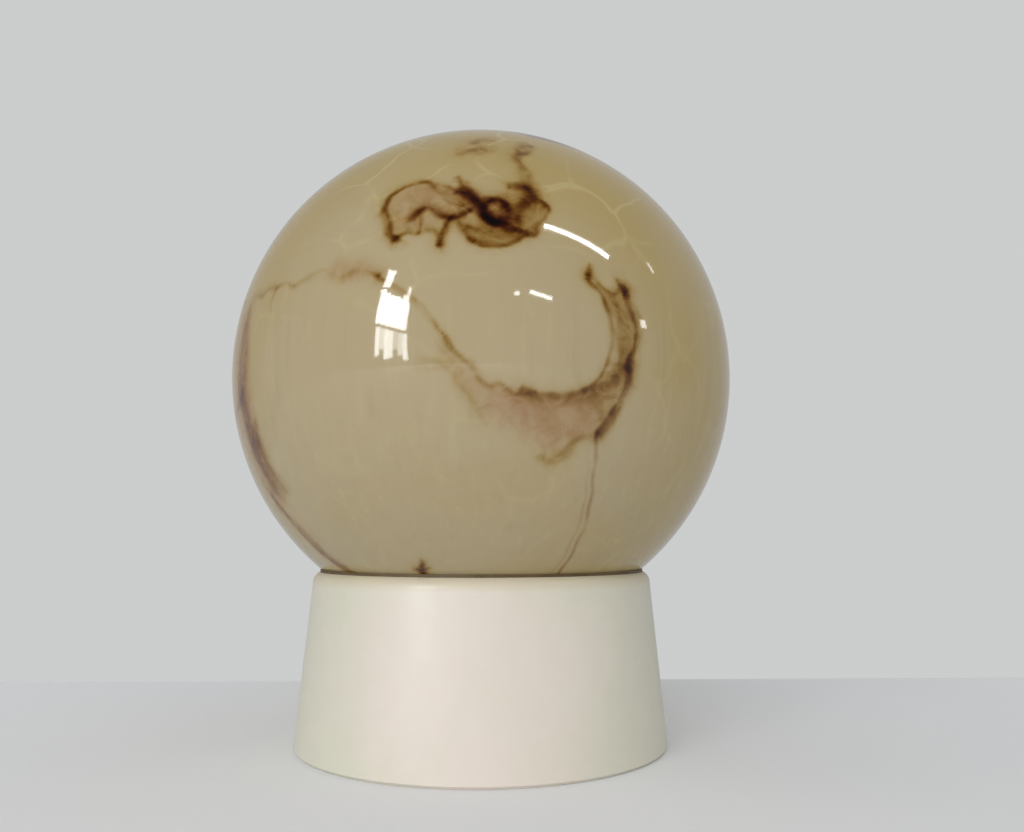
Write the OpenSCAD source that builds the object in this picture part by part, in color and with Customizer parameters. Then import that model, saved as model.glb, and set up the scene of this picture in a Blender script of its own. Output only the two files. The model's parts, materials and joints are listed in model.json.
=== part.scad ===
// Screw-glass globe light: a marbled glass globe screws into a moulded base that holds an E27 lampholder.
// Millimetres. The origin is the centre of the underside, +Z is up, and -Y is the front.

/* [Globe] */
// Outside diameter of the glass globe
globe_d = 150; // [149:0.5:151]
// Thickness of the glass
globe_wall = 3; // [2.5:0.5:3.5]
// Height of the globe's centre above the underside
globe_z = 108.2; // [108:0.1:108.6]
// Outside diameter of the globe's glass thread
globe_thread_d = 84.5; // [84:0.1:84.6]
// Rise of the glass thread in one turn
globe_pitch = 6; // [6:0.5:7]

/* [Base] */
// Height of the base to the inner edge of its rim
base_h = 49.8; // [49.8:0.1:50.2]
// Diameter of the base at the underside
base_foot_d = 109; // [106:0.5:112]
// Diameter of the base just under the rim
base_rim_d = 100.6; // [100.4:0.1:102]
// Thickness of the base's floor
floor_t = 5; // [5:0.1:5.2]
// Distance between the two wall-screw holes
wall_screw_spacing = 70; // [68:1:74]
// Diameter of the wall-screw holes
wall_screw_d = 5.2; // [4.5:0.1:5.5]
// Bore of the cable grommet
cable_d = 7; // [5:0.5:8]

/* [Lamp] */
// Height of the bulb's tip contact above the underside
bulb_tip_z = 20; // [20:0.1:20.3]
// Overall length of the bulb
bulb_length = 107; // [104:1:110]
// Diameter of the bulb's glass
bulb_d = 60; // [55:1:60]
// Rise of the lamp cap's thread in one turn
cap_pitch = 3.629; // [3.6:0.001:3.66]

/* [Hidden] */

$fn = 96;
eps = 0.01;
gap = 0.1;              // between a seat and the piece that lies in it

// Globe and its neck
globe_r = globe_d / 2;
neck_z = 31;            // lower end of the glass neck
neck_top_z = 50;        // the neck is lost in the globe above this
neck_core_r = globe_thread_d / 2 - 1.25;
neck_bore_r = neck_core_r - 3;
neck_ridge_z = 34.5;    // middle of the glass ridge where it starts
neck_ridge_turns = 1.4;

// Base: rim, gasket seat and threaded collar
foot_r = base_foot_d / 2;
foot_edge = 0.8;        // bevel round the underside
foot_ring_w = 8.5;      // ring that the base stands on
foot_recess = 1;        // height of the middle of the underside above the ring
wall_t = 4.5;
rim_round = 3.3;        // radius of the rim's outer shoulder
rim_mid_r = base_rim_d / 2 - rim_round;
seat_r = base_rim_d / 2 - 1.95;
rim_mid_z = base_h - sqrt(rim_round * rim_round - pow(seat_r - rim_mid_r, 2));
seat_z = base_h - 3.5;
seat_bevel_r = 44;
collar_z = 31.5;        // lower end of the threaded collar
collar_bore_r = globe_thread_d / 2 + 0.4;
collar_bevel_z = 44.2;
collar_ridge_turns = 1.1;
gasket_in_r = 45;
gasket_top_z = base_h + 1;

// Places in the base
holder_screw_y = 22;
cable_x = -26;
cable_y = 26;
block_y = 36.5;
way_pitch = 8;          // between the ways of the terminal strip
block_screw_x = way_pitch / 2;
clamp_z = 10;
clamp_screw_dy = 3.6;

// Lampholder
barrel_r = 18.5;
barrel_top_z = 45;
holder_foot_r = 26;
holder_foot_z = floor_t + 4;
pit_r = 12.2;           // room for the centre contact
pit_z = bulb_tip_z - 4;
shell_z = bulb_tip_z + 2;
shell_r = 14;
shell_bore_r = 13.4;
shell_top_z = 43;
strip_t = 0.7;
strip_w = 6;
shoulder_x = 26;
terminal_mid_x = 22.2;
terminal_size = [5.6, 7, 6];

// Bulb
cap_core_r = 12.1;
cap_ridge_r = 13.15;
cap_z = bulb_tip_z + 5;
cap_top_z = bulb_tip_z + 28;
cap_skirt_z = bulb_tip_z + 24.5;
cap_skirt_r = 14.2;
cap_ridge_z = bulb_tip_z + 8;
cap_ridge_turns = 4;
bulb_top_z = bulb_tip_z + bulb_length;
bulb_r = bulb_d / 2;
bulb_mid_z = bulb_top_z - bulb_r;
bulb_neck_r = 13.3;
bulb_neck_z = bulb_tip_z + 26;
bulb_wall = 0.8;
stem_top_z = bulb_tip_z + 55;
filament_z = bulb_mid_z;
filament_r = 10;

// Routes of the two leads, from the terminal strip to the lampholder
live_route = [[-8, 29.2, 10], [-8, 27, 11], [-12, 24.5, 13.5], [-18, 19, 17], [-22, 12, 19.5],
    [-22.2, 7, 19.7], [-22.2, 3.7, 19.7]];
neutral_route = [[8, 29.2, 10], [8, 27, 11.5], [12, 24.5, 15.5], [18, 19, 21], [22, 12, 25],
    [22.2, 7, 25.7], [22.2, 3.7, 25.7]];

// ---- Shared shapes ----

// Part of a helix at step i: the section runs counter-clockwise in the (radius, height) plane.
function ridge_ring(i, n, segs, pitch, z0, root_r, root_w, crest_r, crest_w, ramp) =
    let (k = max(0.12, min(1, i / ramp, (n - i) / ramp)),
        a = 360 * i / segs,
        z = z0 + pitch * i / segs,
        tip_r = root_r + k * (crest_r - root_r),
        outward = crest_r > root_r,
        r_in = outward ? root_r : tip_r,
        w_in = outward ? root_w : crest_w,
        r_out = outward ? tip_r : root_r,
        w_out = outward ? crest_w : root_w)
    [[r_in * cos(a), r_in * sin(a), z - w_in / 2],
     [r_out * cos(a), r_out * sin(a), z - w_out / 2],
     [r_out * cos(a), r_out * sin(a), z + w_out / 2],
     [r_in * cos(a), r_in * sin(a), z + w_in / 2]];

// Skin of a tube of n + 1 rings with m corners each, both ends closed.
function tube_faces(n, m) = concat(
    [[for (j = [m - 1:-1:0]) j]],
    [for (i = [0:n - 1], j = [0:m - 1]) [i * m + j, i * m + (j + 1) % m, (i + 1) * m + (j + 1) % m]],
    [for (i = [0:n - 1], j = [0:m - 1]) [i * m + j, (i + 1) * m + (j + 1) % m, (i + 1) * m + j]],
    [[for (j = [0:m - 1]) n * m + j]]);

// Right-hand helical ridge, tapering in and out at its ends.
module ridge(z0, turns, pitch, root_r, root_w, crest_r, crest_w, segs) {
    n = round(turns * segs);
    ramp = segs / 8;
    polyhedron([for (i = [0:n]) each
        ridge_ring(i, n, segs, pitch, z0, root_r, root_w, crest_r, crest_w, ramp)], tube_faces(n, 4));
}

function unit(v) = v / norm(v);
function blend4(a, b, c, d, t) = 0.5 * (2 * b + (c - a) * t + (2 * a - 5 * b + 4 * c - d) * t * t
    + (3 * b - a - 3 * c + d) * t * t * t);
// Smooth curve through hand-placed points.
function smooth(p, steps) = let (n = len(p) - 1) [for (i = [0:n - 1], s = [0:steps - 1])
    blend4(p[max(i - 1, 0)], p[i], p[i + 1], p[min(i + 2, n)], s / steps)];
function curve(p, steps) = concat(smooth(p, steps), [p[len(p) - 1]]);

// Round tube along a curve.
module wire(route, d) {
    sides = 8;
    c = curve(route, 3);
    n = len(c) - 1;
    rings = [for (i = [0:n]) let (
        t = unit(c[min(i + 1, n)] - c[max(i - 1, 0)]),
        u = unit(cross([0, 0, 1], t)),
        v = cross(t, u)) each [for (j = [0:sides - 1])
            c[i] + d / 2 * (cos(-360 * j / sides) * u + sin(-360 * j / sides) * v)]];
    polyhedron(rings, tube_faces(n, sides));
}

// Straight round rod between two points.
module rod(a, b, r) {
    v = b - a;
    translate(a) rotate([0, acos(v[2] / norm(v)), atan2(v[1], v[0])]) cylinder(r = r, h = norm(v), $fn = 24);
}

// Cheese-head screw standing on z, its shank below.
module screw(z, head_r, head_h, shank_r, shank_l) {
    slot_w = head_r / 4;
    difference() {
        union() {
            translate([0, 0, z]) cylinder(r = head_r, h = head_h);
            translate([0, 0, z - shank_l]) cylinder(r = shank_r, h = shank_l + eps);
        }
        translate([-head_r - 1, -slot_w / 2, z + head_h / 2]) cube([2 * head_r + 2, slot_w, head_h]);
    }
}

// ---- Base ----

module base_outline() {
    polygon([[0, 0], [foot_r - foot_edge, 0], [foot_r, foot_edge], [base_rim_d / 2, rim_mid_z],
        [rim_mid_r, rim_mid_z], [0, rim_mid_z]]);
    translate([rim_mid_r, rim_mid_z]) circle(r = rim_round);
}

module base_hollow() {
    slope = (foot_r - base_rim_d / 2) / rim_mid_z;
    room_r = foot_r - wall_t;
    polygon([[-1, floor_t], [room_r - 2, floor_t], [room_r - floor_t * slope, floor_t + 2],
        [room_r - collar_z * slope, collar_z - 3], [collar_bore_r, collar_z], [collar_bore_r, collar_bevel_z],
        [seat_bevel_r, seat_z], [seat_r, seat_z], [seat_r, base_h + 5], [-1, base_h + 5]]);
    translate([-1, -1]) square([foot_r - foot_ring_w + 1, foot_recess + 1]);
}

module base_housing() {
    color("antiquewhite") {
        difference() {
            rotate_extrude() difference() {
                base_outline();
                base_hollow();
                translate([-5, -1]) square([5, base_h + 10]);
            }
            for (x = [-1, 1]) translate([x * wall_screw_spacing / 2, 0, 0])
                cylinder(d = wall_screw_d, h = floor_t + 1);
            translate([cable_x, cable_y, 0]) cylinder(r = cable_d / 2 + 2.05, h = floor_t + 1);
            for (y = [-1, 1]) translate([0, y * holder_screw_y, foot_recess + 1])
                cylinder(r = 1.75, h = floor_t);
            translate([block_screw_x, block_y, foot_recess + 1]) cylinder(r = 1.25, h = floor_t);
        }
        ridge(neck_ridge_z + globe_pitch / 2, collar_ridge_turns, globe_pitch,
            collar_bore_r + 0.5, 2, collar_bore_r - 1.15, 0.9, 48);
    }
}

module globe_gasket() {
    gasket_r = seat_r - 0.15;
    color("black") rotate_extrude() difference() {
        translate([gasket_in_r, seat_z + gap])
            square([gasket_r - gasket_in_r, gasket_top_z - seat_z - gap]);
        translate([0, globe_z]) circle(r = globe_r + 0.12, $fn = 720);
    }
}

module cable_grommet() {
    lip_r = cable_d / 2 + 3.9;
    color("dimgray") translate([cable_x, cable_y, 0]) difference() {
        union() {
            translate([0, 0, 0.1]) cylinder(r = lip_r, h = foot_recess - 0.1);
            translate([0, 0, foot_recess - eps]) cylinder(r = cable_d / 2 + 2, h = floor_t - foot_recess + 2 * eps);
            translate([0, 0, floor_t]) cylinder(r = lip_r, h = 1.2);
            translate([0, 0, floor_t + 1.2]) cylinder(r1 = cable_d / 2 + 2, r2 = cable_d / 2 + 1, h = 2);
        }
        translate([0, 0, -1]) cylinder(d = cable_d, h = floor_t + 6);
    }
}

// ---- Globe ----

module glass_globe() {
    color("tan") difference() {
        union() {
            translate([0, 0, globe_z]) sphere(r = globe_r);
            translate([0, 0, neck_z]) cylinder(r = neck_core_r, h = neck_top_z - neck_z);
            ridge(neck_ridge_z, neck_ridge_turns, globe_pitch,
                neck_core_r - 0.5, 3.4, globe_thread_d / 2, 1.4, 48);
        }
        translate([0, 0, globe_z]) sphere(r = globe_r - globe_wall);
        translate([0, 0, neck_z - 1]) cylinder(r = neck_bore_r, h = neck_top_z - neck_z + 1);
    }
}

// ---- Lampholder ----

module lampholder_body() {
    slot_h = strip_t + 0.4;
    slot_w = strip_w + 0.4;
    color("white") difference() {
        union() {
            translate([0, 0, floor_t]) cylinder(r = holder_foot_r, h = holder_foot_z - floor_t);
            translate([0, 0, floor_t]) cylinder(r = barrel_r, h = barrel_top_z - floor_t);
            translate([0, 0, barrel_top_z - 6]) cylinder(r = barrel_r + 1.5, h = 6);
            translate([-shoulder_x, -5, floor_t]) cube([shoulder_x, 10, pit_z - floor_t]);
            translate([0, -5, floor_t]) cube([shoulder_x, 10, shell_z - floor_t]);
        }
        translate([0, 0, pit_z]) cylinder(r = pit_r, h = barrel_top_z);
        translate([0, 0, shell_z]) cylinder(r = shell_r + gap, h = barrel_top_z);
        translate([0, 0, shell_top_z + 0.2]) cylinder(r = cap_skirt_r + 1.3, h = 5);
        translate([-shoulder_x - 1, -slot_w / 2, pit_z]) cube([shoulder_x, slot_w, slot_h]);
        translate([shell_r - 1, -slot_w / 2, shell_z]) cube([shoulder_x, slot_w, slot_h]);
        for (y = [-1, 1]) translate([0, y * holder_screw_y, 0]) cylinder(r = 1.9, h = holder_foot_z + 1);
        translate([-9, 0, pit_z - 4]) cylinder(r = 1.2, h = 5);
    }
}

module screw_shell() {
    color("goldenrod") {
        difference() {
            translate([0, 0, shell_z + strip_t]) cylinder(r = shell_r, h = shell_top_z - shell_z - strip_t);
            translate([0, 0, shell_z]) cylinder(r = shell_bore_r, h = shell_top_z);
        }
        ridge(cap_ridge_z + cap_pitch / 2 - cap_pitch, 4.2, cap_pitch,
            shell_bore_r + 0.3, 1.5, shell_bore_r - 0.95, 0.5, 24);
    }
}

module shell_tab() {
    tab_l = shoulder_x - 1 - shell_bore_r;
    color("goldenrod") translate([0, 0, shell_z]) difference() {
        union() {
            cylinder(r = shell_r, h = strip_t);
            translate([shell_bore_r, -strip_w / 2, 0]) cube([tab_l, strip_w, strip_t]);
        }
        translate([0, 0, -1]) cylinder(r = pit_r + 0.3, h = 3);
    }
}

module centre_contact() {
    end_x = 1 - shoulder_x;
    low = pit_z;
    color("goldenrod") difference() {
        rotate([90, 0, 0]) translate([0, 0, -strip_w / 2]) linear_extrude(strip_w)
            polygon([[end_x, low], [9, low], [10, low + 0.9], [1, low + 3.7], [-3, low + 3.6], [-3, low + 2.9],
                [0.9, low + 3], [8.6, low + strip_t], [end_x, low + strip_t]]);
        translate([-9, 0, low - 1]) cylinder(r = 1.25, h = 3);
    }
}

module contact_rivet() {
    color("silver") translate([-9, 0, 0]) {
        translate([0, 0, pit_z - 4]) cylinder(r = 1.15, h = 4 + strip_t);
        translate([0, 0, pit_z + strip_t]) cylinder(r1 = 2.2, r2 = 1.4, h = 0.9);
    }
}

module terminal(z) {
    translate([-terminal_size[0] / 2, -terminal_size[1] / 2, z]) difference() {
        cube(terminal_size);
        translate([terminal_size[0] / 2, -1, 3]) rotate([-90, 0, 0]) cylinder(r = 1.3, h = 9);
        translate([terminal_size[0] / 2, terminal_size[1] / 2, 3]) cylinder(r = 1.5, h = 5);
    }
}

module live_terminal() {
    color("gold") translate([-terminal_mid_x, 0, 0]) terminal(pit_z + strip_t);
}

module neutral_terminal() {
    color("gold") translate([terminal_mid_x, 0, 0]) terminal(shell_z + strip_t);
}

module terminal_screws() {
    color("silver") for (t = [[-terminal_mid_x, pit_z], [terminal_mid_x, shell_z]])
        translate([t[0], 0, 0]) screw(t[1] + strip_t + terminal_size[2], 2.3, 1.6, 1.45, 1.7);
}

module holder_screws() {
    color("silver") for (y = [-1, 1]) translate([0, y * holder_screw_y, 0])
        screw(holder_foot_z, 3.2, 2.4, 1.7, holder_foot_z - foot_recess - 1.2);
}

// ---- Terminal strip and leads ----

module at_ways() {
    for (x = [-1, 0, 1]) translate([x * way_pitch, block_y, 0]) children();
}

module at_clamp_screws() {
    at_ways() for (y = [-1, 1]) translate([0, y * clamp_screw_dy, 0]) children();
}

module mains_block() {
    color("ivory") difference() {
        union() {
            translate([-11.5, block_y - 7, floor_t]) cube([23, 14, 5]);
            at_ways() translate([0, 7, clamp_z]) rotate([90, 0, 0]) cylinder(r = 3.5, h = 14);
            at_clamp_screws() translate([0, 0, clamp_z]) cylinder(r = 2.8, h = 6.5);
        }
        at_ways() translate([0, 8, clamp_z]) rotate([90, 0, 0]) cylinder(r = 2.55, h = 16);
        at_clamp_screws() translate([0, 0, clamp_z]) cylinder(r = 2.05, h = 7);
        translate([block_screw_x, block_y, 0]) cylinder(r = 1.4, h = 20);
    }
}

module block_clamps() {
    color("gold") difference() {
        at_ways() translate([0, 6, clamp_z]) rotate([90, 0, 0]) cylinder(r = 2.5, h = 12);
        at_ways() translate([0, 7, clamp_z]) rotate([90, 0, 0]) cylinder(r = 1.5, h = 14);
        at_clamp_screws() translate([0, 0, clamp_z]) cylinder(r = 1.3, h = 5);
    }
}

module block_clamp_screws() {
    color("silver") at_clamp_screws() screw(clamp_z + 3.2, 2, 1.8, 1.25, 2);
}

module block_screw() {
    color("silver") translate([block_screw_x, block_y, 0]) screw(floor_t + 5.2, 1.35, 1.6, 1.2, 8);
}

module lead_live() {
    color("saddlebrown") wire(live_route, 2.4);
}

module lead_neutral() {
    color("royalblue") wire(neutral_route, 2.4);
}

// ---- Bulb ----

// Radius of the bulb's glass a part t of the way up from the cap to the widest place.
function flare_r(t) = bulb_neck_r + (bulb_r - bulb_neck_r) * pow(sin(90 * pow(t, 1.25)), 1.3);

// Half of the bulb's section: a straight neck in the cap, a flare and the round.
module bulb_half(inset) {
    steps = 12;
    neck_end_z = bulb_neck_z - (inset > 0 ? 1 : 0);
    polygon(concat([[0, neck_end_z], [bulb_neck_r - inset, neck_end_z]],
        [for (i = [0:steps]) [flare_r(i / steps) - inset, cap_top_z + (bulb_mid_z - cap_top_z) * i / steps]],
        [[0, bulb_mid_z]]));
    translate([0, bulb_mid_z]) intersection() {
        circle(r = bulb_r - inset);
        translate([0, -eps]) square(bulb_r + 1);
    }
}

module bulb_glass() {
    color("lightcyan", 0.4) rotate_extrude() difference() {
        bulb_half(0);
        bulb_half(bulb_wall);
    }
}

module bulb_cap() {
    skin = 0.5;
    color("silver") {
        difference() {
            union() {
                translate([0, 0, cap_z]) cylinder(r = cap_core_r, h = cap_skirt_z - cap_z);
                translate([0, 0, cap_skirt_z]) cylinder(r = cap_skirt_r, h = cap_top_z - cap_skirt_z);
            }
            translate([0, 0, cap_z - 1]) cylinder(r = cap_core_r - skin, h = cap_top_z);
            translate([0, 0, cap_skirt_z + skin]) cylinder(r = bulb_neck_r + 0.1, h = 9);
        }
        ridge(cap_ridge_z, cap_ridge_turns, cap_pitch, cap_core_r - 0.3, 1.9, cap_ridge_r, 0.7, 24);
    }
}

module bulb_insulator() {
    color("darkslategray") {
        translate([0, 0, bulb_tip_z + 1.5]) cylinder(r1 = 6, r2 = cap_core_r - 0.6, h = 3.5);
        translate([0, 0, cap_z]) cylinder(r = cap_core_r - 0.6, h = 1.5);
    }
}

module bulb_tip_contact() {
    color("lightgray") {
        translate([0, 0, bulb_tip_z]) cylinder(r1 = 3.4, r2 = 4.6, h = 0.8);
        translate([0, 0, bulb_tip_z + 0.8]) cylinder(r = 4.6, h = 0.7);
    }
}

module bulb_stem() {
    color("lightcyan", 0.6) {
        translate([0, 0, bulb_neck_z]) difference() {
            cylinder(r = bulb_neck_r - bulb_wall - 0.2, h = 1.4);
            translate([0, 0, -1]) cylinder(r = 5, h = 3);
        }
        translate([0, 0, bulb_neck_z + 1.4 - eps]) difference() {
            cylinder(r1 = 9, r2 = 4, h = 18);
            translate([0, 0, -1]) cylinder(r1 = 8, r2 = 2.6, h = 17);
        }
        translate([0, 0, bulb_neck_z + 19.3]) cylinder(r = 4, h = stem_top_z - bulb_neck_z - 19.3);
        translate([0, 0, stem_top_z - eps]) cylinder(r = 1.4, h = 12);
        translate([0, 0, stem_top_z + 12]) sphere(r = 2);
    }
}

// End of a wire on the filament's arc.
function filament_point(a) = [filament_r * cos(a), filament_r * sin(a), filament_z];

module lead_in_wires() {
    color("silver") for (a = [-20, 200])
        rod([3 * cos(a), 3 * sin(a), stem_top_z], filament_point(a), 0.35);
}

module support_wires() {
    color("silver") for (a = [35, 90, 145])
        rod([1.6 * cos(a), 1.6 * sin(a), stem_top_z + 12], filament_point(a) - [0, 0, 0.5], 0.2);
}

module filament() {
    color("dimgray") translate([0, 0, filament_z]) rotate([0, 0, -20])
        rotate_extrude(angle = 220) translate([filament_r, 0]) circle(r = 0.3, $fn = 16);
}

base_housing();
globe_gasket();
glass_globe();
lampholder_body();
screw_shell();
shell_tab();
centre_contact();
contact_rivet();
live_terminal();
neutral_terminal();
terminal_screws();
holder_screws();
mains_block();
block_clamps();
block_clamp_screws();
block_screw();
lead_live();
lead_neutral();
cable_grommet();
bulb_glass();
bulb_cap();
bulb_insulator();
bulb_tip_contact();
bulb_stem();
lead_in_wires();
support_wires();
filament();
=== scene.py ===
"""Looks for the screw-glass globe light: marbled glass, glossy cream moulding, and the lamp inside.

Metres, in the frame of the CAD model: the origin is the centre of the underside, +Z is up, -Y is the front.
Places on the globe are given as longitude and latitude in degrees. Longitude 0 faces -Y and grows
towards +X.
"""

import json
import math
import random

import bpy
import numpy as np
from mathutils import Matrix, Vector, noise


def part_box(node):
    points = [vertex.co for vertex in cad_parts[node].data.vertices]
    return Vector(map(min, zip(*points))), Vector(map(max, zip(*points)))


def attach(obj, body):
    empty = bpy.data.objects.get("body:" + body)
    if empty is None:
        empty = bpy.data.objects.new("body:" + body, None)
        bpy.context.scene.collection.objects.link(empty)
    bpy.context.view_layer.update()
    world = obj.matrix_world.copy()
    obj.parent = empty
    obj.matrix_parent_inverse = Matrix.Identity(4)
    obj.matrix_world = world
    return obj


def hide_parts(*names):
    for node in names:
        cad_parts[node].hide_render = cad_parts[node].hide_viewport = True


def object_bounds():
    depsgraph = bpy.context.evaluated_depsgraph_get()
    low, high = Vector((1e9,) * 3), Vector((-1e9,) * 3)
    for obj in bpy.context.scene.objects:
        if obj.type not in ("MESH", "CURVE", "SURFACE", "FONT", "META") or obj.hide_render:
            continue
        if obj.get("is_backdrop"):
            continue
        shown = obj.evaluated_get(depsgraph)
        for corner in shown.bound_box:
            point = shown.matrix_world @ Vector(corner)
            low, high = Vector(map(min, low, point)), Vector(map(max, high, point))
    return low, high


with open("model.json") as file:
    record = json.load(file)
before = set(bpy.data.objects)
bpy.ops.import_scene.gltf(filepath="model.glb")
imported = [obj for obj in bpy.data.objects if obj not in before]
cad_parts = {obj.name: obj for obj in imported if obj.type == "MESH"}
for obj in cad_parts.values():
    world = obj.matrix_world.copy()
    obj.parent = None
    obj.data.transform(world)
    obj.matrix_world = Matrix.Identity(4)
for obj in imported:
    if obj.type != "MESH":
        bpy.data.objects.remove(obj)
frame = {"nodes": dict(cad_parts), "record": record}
cad_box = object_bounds()
noise.seed_set(7)       # unseeded, Blender's noise takes its place from the clock

MM = 0.001
TAU = 2 * math.pi

# ---- Sizes, from the frame where it holds them ----

globe_low, globe_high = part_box("glass_globe")
GLOBE_R = (globe_high.x - globe_low.x) / 2
GLOBE_Z = globe_high.z - GLOBE_R
NECK_Z = globe_low.z
GLASS_T = 3 * MM
NECK_R = 41 * MM
NECK_RING_STEP = 0.6 * MM
LIP_ROUND = 1.2 * MM
THREAD_HEIGHT = 1.25 * MM
# where the neck's ridge starts, its turns, their pitch, and the ridge's half width
NECK_THREAD = {"start": NECK_Z + 3.5 * MM, "turns": 1.4, "pitch": 6 * MM, "half": 1.8 * MM}
BASE_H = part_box("base_housing")[1].z


# ---- Meshes ----

def new_object(name, verts, faces, smooth_deg=35):
    """A mesh object, smooth but for edges sharper than smooth_deg."""
    mesh = bpy.data.meshes.new(name)
    mesh.from_pydata([tuple(v) for v in verts], [], faces)
    mesh.validate()
    mesh.polygons.foreach_set("use_smooth", [True] * len(mesh.polygons))
    mesh.set_sharp_from_angle(angle=math.radians(smooth_deg))
    obj = bpy.data.objects.new(name, mesh)
    bpy.context.scene.collection.objects.link(obj)
    return obj


def thread_rise(angle, z, start, turns, pitch, half):
    """0 to 1 over a rounded right-hand ridge, which fades in and out over an eighth of a turn."""
    rise = np.zeros(np.broadcast(angle, z).shape)
    for k in range(math.ceil(turns) + 1):
        turn = angle / TAU + k
        fade = np.clip(np.minimum(turn, turns - turn) * 8, 0, 1)
        off = np.clip(np.abs(z - start - pitch * turn) / half, 0, 1)
        rise = np.maximum(rise, fade * np.cos(off * math.pi / 2) ** 2)
    return rise


def arc(cr, cz, radius, start_deg, end_deg, steps):
    """Points of an arc in the (r, z) plane, both ends included."""
    return [(cr + radius * math.cos(math.radians(a)), cz + radius * math.sin(math.radians(a)))
            for a in np.linspace(start_deg, end_deg, steps + 1)]


def smooth_path(points, step):
    """Points every step along a Catmull-Rom curve, as an array. Extra columns are carried along."""
    p = np.array(points, float)
    ends = np.vstack([2 * p[0] - p[1], p, 2 * p[-1] - p[-2]])
    out = []
    for a, b, c, d in zip(ends, ends[1:], ends[2:], ends[3:]):
        count = max(2, int(np.linalg.norm(c[:3] - b[:3]) / step))
        for t in np.arange(count) / count:
            out.append(0.5 * (2 * b + (c - a) * t + (2 * a - 5 * b + 4 * c - d) * t ** 2
                              + (3 * b - a - 3 * c + d) * t ** 3))
    return np.array(out + [p[-1]])


# ---- The marbling: smoky strands drawn on the globe ----

def on_globe(lon, lat):
    """Point of the unit sphere at a longitude and latitude."""
    lon, lat = np.radians(lon), np.radians(lat)
    return np.stack([np.cos(lat) * np.sin(lon), -np.cos(lat) * np.cos(lon), np.sin(lat)], -1)


def ellipse(lon, lat, half_lon, half_lat, weight, steps=12):
    """A closed ring of strand points."""
    return [(lon + half_lon * math.cos(k * TAU / steps), lat + half_lat * math.sin(k * TAU / steps), weight)
            for k in range(steps + 1)]


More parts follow.
